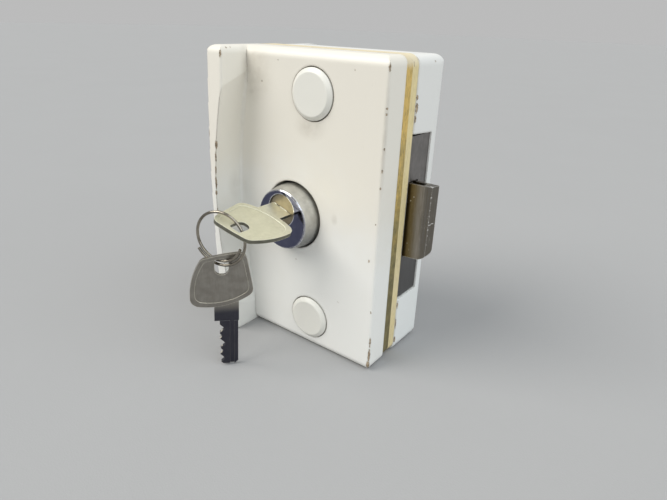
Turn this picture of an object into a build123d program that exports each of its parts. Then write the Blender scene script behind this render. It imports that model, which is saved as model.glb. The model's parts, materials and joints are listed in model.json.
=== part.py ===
from build123d import *
import os
from math import atan2, cos, pi, radians, sin, sqrt

# Glass door lock: two halves that clamp a glass door between them, a key cylinder in the
# front half and a sliding dead bolt in a sheet box in the rear half.
# Millimetres. X runs to the side of the bolt, Y from the front to the back and Z up. The
# origin lies halfway between the two clamping screws, where the two liners meet.

cut_overrun = 1.0  # how far a cut runs past the face that it opens

# Body
body_height = 120.0
body_width = 71.4
rear_step = 0.4  # top of the rear half below the top of the front half
edge_to_middle = 40.3  # outer face of the pull flanges to the line of the screws
plate_thickness = 11.1
case_depth = 18.4
case_back_wall = 4.3
end_radius = 3.5  # rounding round the top and the bottom
flange_end_radius = 3.0  # rounding of the flanges' ends
upright_radius = 0.8  # rounding of the upright edges
case_back_radius = 3.2

# Liners between the halves and the glass
liner_thickness = 4.1
liner_inset = 0.4  # at the foot and the sides; the top is level with the plate's
liner_corner = 4.0
liner_opening_radius = 15.5

# Pull flanges, each with a long scoop for the fingers on its inner face
front_flange_thickness = 7.8
front_flange_reach = 12.5
front_flange_bow = 2.4
front_scoop_depth = 6.0
rear_flange_thickness = 6.5
rear_flange_reach = 7.6
rear_flange_bow = 1.2
rear_scoop_depth = 4.0
scoop_margin = 9.2  # flange left whole beyond each end of its scoop
scoop_taper = 5.0  # lean of the scoop's wall, in degrees
crease_radius = 1.2

# Clamping screws, their sleeves and the caps that cover them
screw_from_top = 14.75
screw_from_foot = 13.75
screw_radius = 3.0
screw_head_radius = 5.0
screw_head_height = 4.0
screw_socket_radius = 2.8
screw_socket_depth = 2.4
screw_floor = 2.6  # plate left under the screw's head
screw_grip = 9.0  # thread in the rear case
screw_end_room = 1.0
hole_clearance = 0.1
sleeve_radius = 5.0
sleeve_bore_clearance = 0.2
well_clearance = 0.4
cap_radius = 9.15
cap_gap = 0.35
cap_seat_depth = 2.4
cap_proud = 1.6
cap_bevel = 1.5
cap_bevel_depth = 1.2
cap_stem_length = 1.6
cap_stem_clearance = 0.25

# Cylinder housing, its bright face ring and its two screws
cylinder_x = -9.5
cylinder_z = -2.1
cylinder_proud = 6.1  # housing in front of the plate
cylinder_rim_radius = 12.1
cylinder_radius = 13.1
cylinder_gap = 0.8
cylinder_hole_shift = (0.3, 0.4)  # the plate's hole lies off the housing's middle
cylinder_end = 1.6
cylinder_flange_radius = 19.0
cylinder_flange_thickness = 2.4
flange_fit = 0.1
ring_thickness = 0.5
ring_radius = 12.0
ring_bevel = 0.35
cylinder_screw_circle = 16.3
cylinder_screw_radius = 1.25
cylinder_screw_head = 2.2
cylinder_screw_head_height = 1.0
screwdriver_slot = 0.6
cylinder_screw_length = 7.0

# Key plug, off the housing's middle so that the pins have room below it
plug_offset = 4.0
plug_radius = 6.4
plug_clearance = 0.05
plug_recess = 0.6  # face of the plug behind the face of the ring
plug_neck_radius = 5.0
plug_groove_radius = 4.2
clip_radius = 7.2
clip_thickness = 0.8
clip_play = 0.1
clip_gap_angle = 70.0
tail_width = 5.0
tail_thickness = 2.0
tail_depth = 1.2
tail_clearance = 0.1

# Pins and springs
pin_count = 5
pin_pitch = 3.5
pin_radius = 1.3
pin_clearance = 0.08
pin_tip_height = 0.6
driver_pin_length = 3.0
chamber_floor = 1.6  # housing left under the pin chambers at the plate
cover_thickness = 0.8
cover_width = 4.4
cover_fit = 0.05
spring_wall = 0.3

# Keys
key_thickness = 1.3
blade_length = 20.0
blade_low = -2.4
blade_high = 4.7
blade_tip_chamfer = 1.2
blade_thickness = 1.6
blade_groove_width = 1.6
blade_groove_depth = 0.6
keyway_clearance = 0.15
neck_low = -4.4
neck_high = 5.0
neck_length = 9.5
cut_depths = (1.5, 0.7, 1.9, 1.1, 1.6)
cut_flat = 0.9
bow_corners = ((-13.0, 7.2), (10.7, 12.4), (7.4, 29.2), (-8.8, 26.4))
bow_bulges = (3.0, 0.1, 0.4, 1.8)
bow_near_radius = 3.6
bow_far_radius = 3.1
rim_width = 1.7
rim_height = 0.15
eye_middle = (-1.4, 23.2)
eye_width = 5.2
eye_length = 6.4
eye_far_radius = 1.0
eye_near_radius = 2.4
key_tilt = 18.0  # the photographed turn of the key's width below the horizontal
shoulder_gap = 0.1

# Key ring, an open spiral of wire
wire_radius = 0.55
ring_outer_start = 11.15
ring_shrink = 1.65  # inwards for each turn
ring_turns = 1.36
ring_start_angle = -150.0
ring_centre = (-16.3, -47.2, -3.7)
ring_heading = 15.4
hanging_key_heading = 49.0
hang_room = 0.3

# Lock box: a sheet tray, and a folded sheet that is its cover and the lock's face
box_left = -27.3
box_low = -33.5
box_height = 66.0
box_sheet = 1.2
face_sheet = 1.0
face_recess = 0.55
bend_radius = 2.5
box_room = 0.1
window_room = 0.5
window_slope = 1.0
post_radius = 2.0
rivet_radius = 1.4
post_inset = 5.0
box_screw_inset = 5.0
box_screw_from_face = 24.5
box_screw_radius = 1.5
box_screw_head = 2.7
box_screw_head_height = 1.4
box_screw_length = 3.0

# Dead bolt, its two guide pins and the cam on the plug
bolt_reach = 9.85  # bolt in front of the lock's face, and its way back into the box
bolt_front = 5.7
bolt_thickness = 5.1
bolt_top = 15.0
bolt_height = 30.0
bolt_corner_radius = 4.5
bolt_swell = 0.35
bolt_tip_setback = 1.4
bolt_tip_slant = 1.0
pocket_wall = 0.9
pocket_tip = 4.5
pocket_depth = 12.0
nose_left = 15.0
tail_margin = 3.0  # tail left of the slot for the crank pin
bolt_travel = 72.0  # turn of the key that draws the bolt back
crank_pin_radius = 2.0
crank_slot_room = 0.3
guide_x = 4.0
guide_heights = (11.0, -10.0)
guide_radius = 1.8
guide_shoulder_radius = 3.0
bearing_clearance = 0.06
layer_gap = 0.25
cam_radius = 12.2
cam_thickness = 1.8
cam_hub_radius = 5.8
cam_hub_clearance = 0.1
slot_side_room = 0.3
slot_back_room = 1.4
slot_end_room = 0.4

# Places that follow from the sizes
left = -edge_to_middle
right = left + body_width
screw_spacing = body_height - screw_from_top - screw_from_foot
top = screw_spacing / 2 + screw_from_top
foot = -screw_spacing / 2 - screw_from_foot
rear_top = top - rear_step
scoop_half_length = body_height / 2 - scoop_margin
plate_back = -liner_thickness
plate_front = plate_back - plate_thickness
case_front = liner_thickness
case_back = case_front + case_depth
ring_face = plate_front - cylinder_proud - ring_thickness
plug_x = cylinder_x
plug_z = cylinder_z + plug_offset
plug_face = ring_face + plug_recess
shoulder_y = plug_face - shoulder_gap
screw_places = ((0, screw_spacing / 2), (0, -screw_spacing / 2))
cap_floor = plate_front + cap_seat_depth
head_back = plate_back - screw_floor
head_front = head_back - screw_head_height
well_radius = screw_head_radius + well_clearance
face_x = right - face_recess
box_top = box_low + box_height
box_back = case_back - case_back_wall - box_room
cover_back = case_front + face_sheet
tray_front = cover_back
cam_front = cover_back + layer_gap
cam_back = cam_front + cam_thickness
tail_front = cam_back + layer_gap
bolt_back = bolt_front + bolt_thickness
bolt_right = face_x + bolt_reach
bolt_low = bolt_top - bolt_height
plug = (plug_x, plug_z)
crank_radius = bolt_reach / (2 * sin(radians(bolt_travel / 2)))
crank_rest = radians(bolt_travel / 2 - 90)
crank_place = (plug_x + crank_radius * cos(crank_rest), plug_z + crank_radius * sin(crank_rest))
guide_places = [(guide_x, height) for height in guide_heights]
pin_depths = [shoulder_y + pin_pitch * (number + 1) for number in range(pin_count)]


def depth_plane(y):
    """The upright plane at depth y that faces the front."""
    return Plane.XZ.offset(-y)


def round_bar(place, radius, front, back, mode=Mode.ADD):
    """A round bar along Y through (x, z), between two depths."""
    with BuildSketch(depth_plane(back)) as section:
        with Locations(place):
            Circle(radius)
    extrude(section.sketch, amount=back - front, mode=mode)


def block(x_span, z_span, front, back, corner=0.0, mode=Mode.ADD):
    """A block between two depths, with rounded upright corners where corner is given."""
    width = x_span[1] - x_span[0]
    height = z_span[1] - z_span[0]
    with BuildSketch(depth_plane(back)) as section:
        with Locations((sum(x_span) / 2, sum(z_span) / 2)):
            if corner:
                RectangleRounded(width, height, corner)
            else:
                Rectangle(width, height)
    extrude(section.sketch, amount=back - front, mode=mode)


def slot(middle, travel, width, turn, front, back):
    """A slot through a piece for a pin that travels along it; turn 90 makes it upright."""
    with BuildSketch(depth_plane(back)) as section:
        with Locations(middle):
            SlotCenterToCenter(travel, width, rotation=turn)
    extrude(section.sketch, amount=back - front, mode=Mode.SUBTRACT)


def slab(x_span, y_span, z_span, front_round, back_round):
    """An upright slab whose top and bottom are rounded to the front, the back and the sides."""
    width = x_span[1] - x_span[0]
    depth = y_span[1] - y_span[0]
    height = z_span[1] - z_span[0]
    middle = (sum(x_span) / 2, sum(y_span) / 2, sum(z_span) / 2)
    with BuildPart() as body:
        with BuildSketch(Plane.XY.offset(z_span[0])):
            with Locations((middle[0], middle[1])):
                RectangleRounded(width, depth, upright_radius)
        extrude(amount=height)
        with BuildSketch(depth_plane(y_span[1])):
            with Locations((middle[0], middle[2])):
                RectangleRounded(width, height, end_radius)
        extrude(amount=depth, mode=Mode.INTERSECT)
        with BuildSketch(Plane.YZ.offset(x_span[0])) as side:
            with Locations((middle[1], middle[2])):
                Rectangle(depth, height)
            fillet(side.vertices().group_by(Axis.X)[0], front_round)
            fillet(side.vertices().group_by(Axis.X)[-1], back_round)
        extrude(amount=width, mode=Mode.INTERSECT)
    return body.part


def flange_outline(edge_y, root_y, bow, z_span, corner):
    """A flange seen from the side; its free edge bows out halfway up."""
    outwards = 1 if edge_y > root_y else -1
    crown = (edge_y + outwards * bow, sum(z_span) / 2)
    with BuildSketch(Plane.YZ.offset(left)) as outline:
        with BuildLine():
            Polyline((edge_y, z_span[0]), (root_y, z_span[0]), (root_y, z_span[1]), (edge_y, z_span[1]))
            ThreePointArc((edge_y, z_span[1]), crown, (edge_y, z_span[0]))
        make_face()
        if corner:
            free_corners = outline.vertices().sort_by(Axis.X, reverse=edge_y > root_y)[0:2]
            fillet(free_corners, corner)
    return outline.sketch


def pull_flange(edge_y, root_y, thickness, bow, z_span):
    """A flange to pull the door by, with rounded ends and eased edges."""
    with BuildPart() as flange:
        extrude(flange_outline(edge_y, root_y, bow, z_span, 0), amount=thickness)
        fillet(flange.edges().filter_by(GeomType.CIRCLE), upright_radius)
        rounded = flange_outline(edge_y, root_y, bow, z_span, flange_end_radius)
        extrude(rounded, amount=thickness, mode=Mode.INTERSECT)
        with BuildSketch(Plane.XZ) as corners:
            for side_x, across in ((left, 1), (left + thickness, -1)):
                round_x = side_x + across * flange_end_radius
                for end_z, inwards in ((z_span[0], 1), (z_span[1], -1)):
                    round_z = end_z + inwards * flange_end_radius
                    with Locations(((side_x + round_x) / 2, (end_z + round_z) / 2)):
                        Rectangle(flange_end_radius, flange_end_radius)
                    with Locations((round_x, round_z)):
                        Circle(flange_end_radius, mode=Mode.SUBTRACT)
        extrude(corners.sketch, amount=2 * (abs(edge_y) + bow), both=True, mode=Mode.SUBTRACT)
    return flange.part


def scoop_tool(crease_x, root_y, depth, facing):
    """The shape that hollows a flange's inner face; facing is -1 to the front and 1 to the back."""
    radius = (scoop_half_length**2 + depth**2) / (2 * depth)
    middle = foot + body_height / 2
    with BuildPart() as tool:
        with BuildSketch(Plane(origin=(0, root_y, 0), x_dir=(1, 0, 0), z_dir=(0, facing, 0))):
            with Locations((crease_x - depth + radius, -facing * middle)):
                Circle(radius)
        extrude(amount=2 * front_flange_reach, taper=scoop_taper)
        rim = tool.edges().sort_by(SortBy.LENGTH)[-1]
        fillet(rim, crease_radius)
    return tool.part


# Front half: a thick plate with the front flange, wells for the screws and a hole for the cylinder
with BuildPart() as front_plate:
    add(slab((left, right), (plate_front, plate_back), (foot, top), end_radius, upright_radius))
    add(
        pull_flange(
            plate_front - front_flange_reach,
            plate_front + end_radius,
            front_flange_thickness,
            front_flange_bow,
            (foot, top),
        )
    )
    add(
        scoop_tool(left + front_flange_thickness, plate_front, front_scoop_depth, -1),
        mode=Mode.SUBTRACT,
    )
    for place in screw_places:
        round_bar(place, cap_radius + cap_gap, plate_front, cap_floor, Mode.SUBTRACT)
        round_bar(place, well_radius, cap_floor, head_back, Mode.SUBTRACT)
        round_bar(place, screw_radius + hole_clearance, head_back, plate_back, Mode.SUBTRACT)
    cylinder_place = (cylinder_x, cylinder_z)
    hole_place = (cylinder_x + cylinder_hole_shift[0], cylinder_z + cylinder_hole_shift[1])
    round_bar(hole_place, cylinder_radius + cylinder_gap, plate_front, plate_back, Mode.SUBTRACT)
    round_bar(
        cylinder_place,
        cylinder_flange_radius + flange_fit,
        plate_back - cylinder_flange_thickness,
        plate_back,
        Mode.SUBTRACT,
    )
    cylinder_screw_places = [
        (cylinder_x + cylinder_screw_circle * cos(angle), cylinder_z + cylinder_screw_circle * sin(angle))
        for angle in (radians(0), radians(180))
    ]
    cylinder_screw_tip = plate_back - cylinder_screw_length
    for place in cylinder_screw_places:
        round_bar(place, cylinder_screw_radius, cylinder_screw_tip - flange_fit, plate_back, Mode.SUBTRACT)
front_plate.part.label = "front_plate"


def liner(front, back):
    """A liner that keeps one half off the glass."""
    with BuildPart() as sheet:
        block(
            (left + liner_inset, right - liner_inset),
            (foot + liner_inset, top),
            front,
            back,
            liner_corner,
        )
        round_bar(cylinder_place, liner_opening_radius, front, back, Mode.SUBTRACT)
        for place in screw_places:
            round_bar(place, sleeve_radius + hole_clearance, front, back, Mode.SUBTRACT)
    return sheet.part


front_liner_part = liner(plate_back, 0)
front_liner_part.label = "front_liner"
rear_liner_part = liner(0, case_front)
rear_liner_part.label = "rear_liner"

# Rear half: a case with a pocket for the lock box, open at the liner and at the side
pocket_back = case_back - case_back_wall
case_floor_hole = case_front + screw_grip + screw_end_room
box_middle = box_low + box_height / 2
box_screw_places = [
    (box_left + box_screw_inset, box_middle + box_height / 6),
    (box_left + box_screw_inset, box_middle - box_height / 6),
    (face_x - box_screw_from_face, box_top - box_screw_inset),
    (face_x - box_screw_from_face, box_low + box_screw_inset),
]
box_screw_tip = box_back + box_screw_length
with BuildPart() as rear_case:
    add(slab((left, right), (case_front, case_back), (foot, rear_top), upright_radius, case_back_radius))
    add(
        pull_flange(
            case_back + rear_flange_reach,
            case_back - case_back_radius,
            rear_flange_thickness,
            rear_flange_bow,
            (foot, rear_top),
        )
    )
    add(
        scoop_tool(left + rear_flange_thickness, case_back, rear_scoop_depth, 1),
        mode=Mode.SUBTRACT,
    )
    block(
        (box_left - window_room, face_x - bend_radius),
        (box_low - window_room, box_top + window_room),
        case_front,
        pocket_back,
        mode=Mode.SUBTRACT,
    )
    with BuildSketch(Plane.YZ.offset(face_x - bend_radius)):
        with BuildLine():
            Polyline(
                (case_front, box_low - window_room),
                (pocket_back, box_low - window_room),
                (pocket_back, box_top + window_room - window_slope / 2),
                (case_front, box_top + window_room + window_slope / 2),
                close=True,
            )
        make_face()
    extrude(amount=right - face_x + bend_radius, mode=Mode.SUBTRACT)
    for place in screw_places:
        round_bar(place, screw_radius, case_front, case_floor_hole, Mode.SUBTRACT)
    for place in box_screw_places:
        round_bar(place, box_screw_radius, pocket_back, box_screw_tip + box_room, Mode.SUBTRACT)
rear_case.part.label = "rear_case"

# Caps over the clamping screws: a bevelled button with a stem in the screw's well
def cover_cap(place):
    """One cap, seated on the floor of its recess."""
    with BuildPart() as cap:
        round_bar(place, cap_radius, plate_front - cap_proud, cap_floor)
        face_edge = cap.edges().sort_by(Axis.Y)[0]
        chamfer(face_edge, length=cap_bevel_depth, length2=cap_bevel)
        fillet(cap.edges().sort_by(Axis.Y)[0:2], upright_radius)
        round_bar(place, well_radius - cap_stem_clearance, cap_floor, cap_floor + cap_stem_length)
    return cap.part


upper_cap = cover_cap(screw_places[0])
upper_cap.label = "upper_cover_cap"
lower_cap = cover_cap(screw_places[1])
lower_cap.label = "lower_cover_cap"

# The two clamping screws, with a hexagon socket in the head
with BuildPart() as clamp_screws:
    for place in screw_places:
        round_bar(place, screw_head_radius, head_front, head_back)
        round_bar(place, screw_radius, head_back, case_front + screw_grip)
        with BuildSketch(depth_plane(head_front + screw_socket_depth)):
            with Locations(place):
                RegularPolygon(screw_socket_radius, 6)
        extrude(amount=screw_socket_depth, mode=Mode.SUBTRACT)
clamp_screws.part.label = "clamp_screws"

# Sleeves that centre the screws in the holes of the liners and of the glass
with BuildPart() as screw_sleeves:
    for place in screw_places:
        round_bar(place, sleeve_radius, plate_back, case_front)
        round_bar(place, screw_radius + sleeve_bore_clearance, plate_back, case_front, Mode.SUBTRACT)
screw_sleeves.part.label = "screw_sleeves"

# Cylinder housing: a slightly conical nose, a body in the plate and a flange behind it
plug_bore = plug_radius + plug_clearance
chamber_low = cylinder_z - cylinder_radius + chamber_floor
cover_top = chamber_low + cover_thickness + cover_fit
housing_front = ring_face + ring_thickness
with BuildPart() as cylinder_housing:
    with BuildSketch(Plane.XY.offset(cylinder_z)):
        with BuildLine():
            Polyline(
                (cylinder_x, housing_front),
                (cylinder_x + cylinder_rim_radius, housing_front),
                (cylinder_x + cylinder_radius, plate_front),
                (cylinder_x + cylinder_radius, plate_back - cylinder_flange_thickness),
                (cylinder_x + cylinder_flange_radius, plate_back - cylinder_flange_thickness),
                (cylinder_x + cylinder_flange_radius, plate_back),
                (cylinder_x + cylinder_radius, plate_back),
                (cylinder_x + cylinder_radius, cylinder_end),
                (cylinder_x, cylinder_end),
                close=True,
            )
        make_face()
    revolve(axis=Axis((cylinder_x, 0, cylinder_z), (0, 1, 0)))
    round_bar(plug, plug_bore, housing_front, cylinder_end, Mode.SUBTRACT)
    for depth in pin_depths:
        with BuildSketch(Plane.XY.offset(chamber_low + cover_fit)):
            with Locations((plug_x, depth)):
                Circle(pin_radius + pin_clearance)
        extrude(amount=plug_z - chamber_low, mode=Mode.SUBTRACT)
    block(
        (plug_x - cover_width / 2 - cover_fit, plug_x + cover_width / 2 + cover_fit),
        (chamber_low, cover_top),
        pin_depths[0] - pin_pitch / 2 - cover_fit,
        cylinder_end,
        mode=Mode.SUBTRACT,
    )
    for place in cylinder_screw_places:
        head_floor = plate_back - cylinder_screw_head_height
        round_bar(place, cylinder_screw_head, head_floor, plate_back, Mode.SUBTRACT)
        flange_front = plate_back - cylinder_flange_thickness
        round_bar(place, cylinder_screw_radius, flange_front, plate_back, Mode.SUBTRACT)
cylinder_housing.part.label = "cylinder_housing"

with BuildPart() as cylinder_screws:
    for place in cylinder_screw_places:
        round_bar(place, cylinder_screw_head, plate_back - cylinder_screw_head_height, plate_back)
        round_bar(place, cylinder_screw_radius, cylinder_screw_tip, plate_back)
        with BuildSketch(depth_plane(plate_back)):
            with Locations(place):
                Rectangle(2 * cylinder_screw_radius, screwdriver_slot)
        extrude(amount=cylinder_screw_head_height / 2, mode=Mode.SUBTRACT)
cylinder_screws.part.label = "cylinder_screws"

# Bright ring on the housing's nose, with a bevelled rim and an opening for the plug
with BuildPart() as face_ring:
    round_bar(cylinder_place, ring_radius, ring_face, housing_front)
    chamfer(face_ring.edges().sort_by(Axis.Y)[0], length=ring_bevel)
    round_bar(plug, plug_bore, ring_face, housing_front, Mode.SUBTRACT)
face_ring.part.label = "cylinder_face_ring"

# Key and plug share a frame: its first axis runs across the key, away from the cuts
tilt = radians(key_tilt)
key_side = (-cos(tilt), 0, sin(tilt))
cut_side = (cos(tilt), 0, -sin(tilt))


def across_plug(y):
    """The plane across the plug at depth y, turned with the key."""
    return Plane(origin=(plug_x, y, plug_z), x_dir=key_side, z_dir=(0, -1, 0))


with BuildPart() as key_plug:
    round_bar(plug, plug_radius, plug_face, cylinder_end)
    chamfer(key_plug.edges().sort_by(Axis.Y)[0], length=ring_bevel)
    neck_end = cover_back - tail_depth
    groove_front = cylinder_end + clip_play
    groove_back = groove_front + clip_thickness
    round_bar(plug, plug_neck_radius, cylinder_end, neck_end)
    with BuildSketch(across_plug(cam_back)):
        Rectangle(tail_width, tail_thickness)
    extrude(amount=cam_back - neck_end)
    round_bar(plug, plug_neck_radius, groove_front, groove_back, Mode.SUBTRACT)
    round_bar(plug, plug_groove_radius, groove_front - clip_play, groove_back + clip_play)
    with BuildSketch(across_plug(shoulder_y + blade_length + 2 * keyway_clearance)):
        with Locations(((blade_low + blade_high) / 2, 0)):
            Rectangle(
                blade_high - blade_low + 2 * keyway_clearance,
                blade_thickness + 2 * keyway_clearance,
            )
    extrude(amount=blade_length + 2 * cut_overrun, mode=Mode.SUBTRACT)
    for depth in pin_depths:
        with BuildSketch(Plane(origin=(plug_x, depth, plug_z), x_dir=(0, 1, 0), z_dir=cut_side)):
            Circle(pin_radius + pin_clearance)
        extrude(amount=plug_radius + cut_overrun, mode=Mode.SUBTRACT)
key_plug.part.label = "key_plug"

# Open clip in the plug's groove, behind the housing
with BuildPart() as plug_clip:
    round_bar(plug, clip_radius, groove_front, groove_back)
    round_bar(plug, plug_groove_radius + bearing_clearance, groove_front, groove_back, Mode.SUBTRACT)
    with BuildSketch(across_plug(groove_back)):
        with BuildLine():
            half_gap = radians(clip_gap_angle / 2)
            far = 2 * clip_radius
            Polyline(
                (0, 0),
                (far * cos(half_gap), far * sin(half_gap)),
                (far * cos(half_gap), -far * sin(half_gap)),
                close=True,
            )
        make_face()
    extrude(amount=clip_thickness, mode=Mode.SUBTRACT)
plug_clip.part.label = "plug_clip"


def pin(plane, length):
    """A pin with a blunt point at its far end, standing on a plane."""
    with BuildSketch(plane) as section:
        Circle(pin_radius)
    extrude(section.sketch, amount=length - pin_tip_height)
    with BuildSketch(plane.offset(length - pin_tip_height)) as shoulder:
        Circle(pin_radius)
    extrude(shoulder.sketch, amount=pin_tip_height, taper=45)


# Key pins stand in the plug beside the blade, and turn with it
with BuildPart() as key_pins:
    pin_outer = sqrt(plug_radius**2 - pin_radius**2) - plug_clearance
    key_pin_length = pin_outer + blade_low - keyway_clearance
    for depth in pin_depths:
        origin = (plug_x - pin_outer * key_side[0], depth, plug_z - pin_outer * key_side[2])
        pin(Plane(origin=origin, x_dir=(0, 1, 0), z_dir=key_side), key_pin_length)
key_pins.part.label = "key_pins"

# Driver pins wait in the housing below the plug, each on a spring
driver_top = plug_z - plug_radius - 2 * plug_clearance
driver_low = driver_top - driver_pin_length
with BuildPart() as driver_pins:
    for depth in pin_depths:
        with BuildSketch(Plane.XY.offset(driver_low)):
            with Locations((plug_x, depth)):
                Circle(pin_radius)
        extrude(amount=driver_pin_length)
driver_pins.part.label = "driver_pins"

spring_low = cover_top - cover_fit
with BuildPart() as pin_springs:
    for depth in pin_depths:
        with BuildSketch(Plane.XY.offset(spring_low)):
            with Locations((plug_x, depth)):
                Circle(pin_radius)
                Circle(pin_radius - spring_wall, mode=Mode.SUBTRACT)
        extrude(amount=driver_low - spring_low)
pin_springs.part.label = "pin_springs"

with BuildPart() as chamber_cover:
    block(
        (plug_x - cover_width / 2, plug_x + cover_width / 2),
        (chamber_low + cover_fit, spring_low),
        pin_depths[0] - pin_pitch / 2,
        cylinder_end,
    )
chamber_cover.part.label = "pin_chamber_cover"


def bulged(start, end, bulge):
    """An arc between two corners that swells outwards to the right of its way."""
    along = Vector(*end) - Vector(*start)
    middle = (Vector(*start) + Vector(*end)) * 0.5
    crown = middle + Vector(along.Y, -along.X).normalized() * bulge
    ThreePointArc(start, (crown.X, crown.Y), end)


def bow_outline(y, inset):
    """The bow's outline at depth y of the key's own frame, drawn smaller by an inset."""
    count = len(bow_corners)
    middle = [sum(corner[axis] for corner in bow_corners) / count for axis in (0, 1)]
    widest = max(corner[0] for corner in bow_corners) - middle[0]
    share = 1 - inset / widest
    corners = [
        (middle[0] + share * (x - middle[0]), middle[1] + share * (z - middle[1]))
        for x, z in bow_corners
    ]
    with BuildSketch(depth_plane(y)) as outline:
        with BuildLine():
            for number, bulge in enumerate(bow_bulges):
                bulged(corners[number], corners[(number + 1) % count], share * bulge)
        make_face()
        fillet(outline.vertices().sort_by(Axis.Y)[:2], share * bow_near_radius)
        far_corners = outline.vertices().sort_by(Axis.Y)[-2:]
        fillet(far_corners, share * bow_far_radius)
    return outline.sketch


def key():
    """A key standing on its shoulder: the blade below, the bow above, the cuts on the low side."""
    half = key_thickness / 2
    half_blade = blade_thickness / 2
    with BuildPart() as shape:
        extrude(bow_outline(half + rim_height, 0), amount=key_thickness + 2 * rim_height)
        extrude(bow_outline(half + rim_height, rim_width), amount=rim_height, mode=Mode.SUBTRACT)
        extrude(bow_outline(-half, rim_width), amount=rim_height, mode=Mode.SUBTRACT)
        with BuildSketch(Plane.XZ) as neck:
            with Locations(((neck_low + neck_high) / 2, neck_length / 2)):
                Rectangle(neck_high - neck_low, neck_length)
        extrude(neck.sketch, amount=half, both=True)
        with BuildSketch(Plane.XZ) as blade:
            with Locations(((blade_low + blade_high) / 2, -blade_length / 2)):
                Rectangle(blade_high - blade_low, blade_length)
            chamfer(blade.vertices().sort_by(Axis.Y)[:2], blade_tip_chamfer)
            for number, cut in enumerate(cut_depths):
                height = -pin_pitch * (number + 1)
                with BuildLine():
                    Polyline(
                        (blade_low - cut_flat, height + cut_flat / 2 + cut + cut_flat),
                        (blade_low + cut, height + cut_flat / 2),
                        (blade_low + cut, height - cut_flat / 2),
                        (blade_low - cut_flat, height - cut_flat / 2 - cut - cut_flat),
                        close=True,
                    )
                make_face(mode=Mode.SUBTRACT)
        extrude(blade.sketch, amount=half_blade, both=True)
        with BuildSketch(Plane.XZ.offset(half_blade)) as groove:
            with Locations(((blade_low + 2 * blade_high) / 3, -blade_length / 2)):
                Rectangle(blade_groove_width, blade_length)
        extrude(groove.sketch, amount=-blade_groove_depth, mode=Mode.SUBTRACT)
        with BuildSketch(Plane.XZ) as eye:
            with Locations(eye_middle):
                Rectangle(eye_width, eye_length)
            fillet(eye.vertices().group_by(Axis.Y)[0], eye_near_radius)
            fillet(eye.vertices().group_by(Axis.Y)[-1], eye_far_radius)
        extrude(eye.sketch, amount=key_thickness, both=True, mode=Mode.SUBTRACT)
    return shape.part


# Inserted key, with its shoulder just off the plug and its blade in the keyway
standing_key = key()
key_frame = Plane(origin=(plug_x, shoulder_y, plug_z), x_dir=key_side, z_dir=(0, -1, 0))
inserted_key = standing_key.moved(Location(key_frame))
inserted_key.label = "inserted_key"

# Key ring: a flat spiral of wire in an upright plane, made of quarter turns
heading = radians(ring_heading)
ring_plane = Plane(
    origin=ring_centre,
    x_dir=(cos(heading), sin(heading), 0),
    z_dir=(sin(heading), -cos(heading), 0),
)


def spiral_point(turn):
    """Place and heading on the spiral after so many turns."""
    angle = radians(ring_start_angle) + 2 * pi * turn
    radius = ring_outer_start - ring_shrink * turn
    outwards = ring_plane.x_dir * cos(angle) + ring_plane.y_dir * sin(angle)
    onwards = ring_plane.y_dir * cos(angle) - ring_plane.x_dir * sin(angle)
    slope = -ring_shrink / (2 * pi)
    way = outwards * slope + onwards * radius
    return ring_plane.origin + outwards * radius, way.normalized()


def biarc_joint(start, start_way, end, end_way):
    """Where two arcs meet that leave start and reach end along the given ways."""
    span = end - start
    ways = start_way + end_way
    bend = 2 * (1 - start_way.dot(end_way))
    reach = (-span.dot(ways) + sqrt(span.dot(ways) ** 2 + bend * span.dot(span))) / bend
    return (start + end + (start_way - end_way) * reach) * 0.5


quarters = 6
stops = [spiral_point(ring_turns * number / quarters) for number in range(quarters + 1)]
with BuildPart() as key_ring:
    with BuildLine() as wire_path:
        for (start, start_way), (end, end_way) in zip(stops, stops[1:]):
            joint = biarc_joint(start, start_way, end, end_way)
            first = TangentArc(start, joint, tangent=start_way)
            TangentArc(joint, end, tangent=first % 1)
    with BuildSketch(Plane(origin=stops[0][0], z_dir=stops[0][1])):
        Circle(wire_radius)
    sweep()
key_ring.part.label = "key_ring"

samples = 400
path_points = [spiral_point(ring_turns * number / samples)[0] for number in range(samples + 1)]
turn_apart = int(samples * 0.5 / ring_turns)
least_gap = min(
    (path_points[low] - path_points[high]).length
    for low in range(0, samples + 1, 4)
    for high in range(low + turn_apart, samples + 1, 4)
)
print("key ring: least gap between turns", round(least_gap - 2 * wire_radius, 2), "mm")

# Hanging key: its eye rests on the inner wire at the bottom of the ring, its weight below it
bottom_turn = 1 + (-90.0 - ring_start_angle) / 360.0
inner_bottom = ring_outer_start - ring_shrink * bottom_turn
wire_place = Vector(ring_centre[0], ring_centre[1], ring_centre[2] - inner_bottom)
eye_place = (eye_middle[0], eye_middle[1] + eye_length / 2 - wire_radius - hang_room)
balance = standing_key.center()
lean = atan2(balance.X - eye_place[0], eye_place[1] - balance.Z)
hang_heading = radians(hanging_key_heading)
key_across = Vector(cos(hang_heading) * cos(lean), sin(hang_heading) * cos(lean), -sin(lean))
key_upwards = Vector(cos(hang_heading) * sin(lean), sin(hang_heading) * sin(lean), cos(lean))
hang_origin = wire_place - key_across * eye_place[0] - key_upwards * eye_place[1]
hang_frame = Plane(origin=hang_origin, x_dir=key_across, z_dir=key_upwards)
hanging_key = standing_key.moved(Location(hang_frame))
hanging_key.label = "hanging_key"

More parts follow.
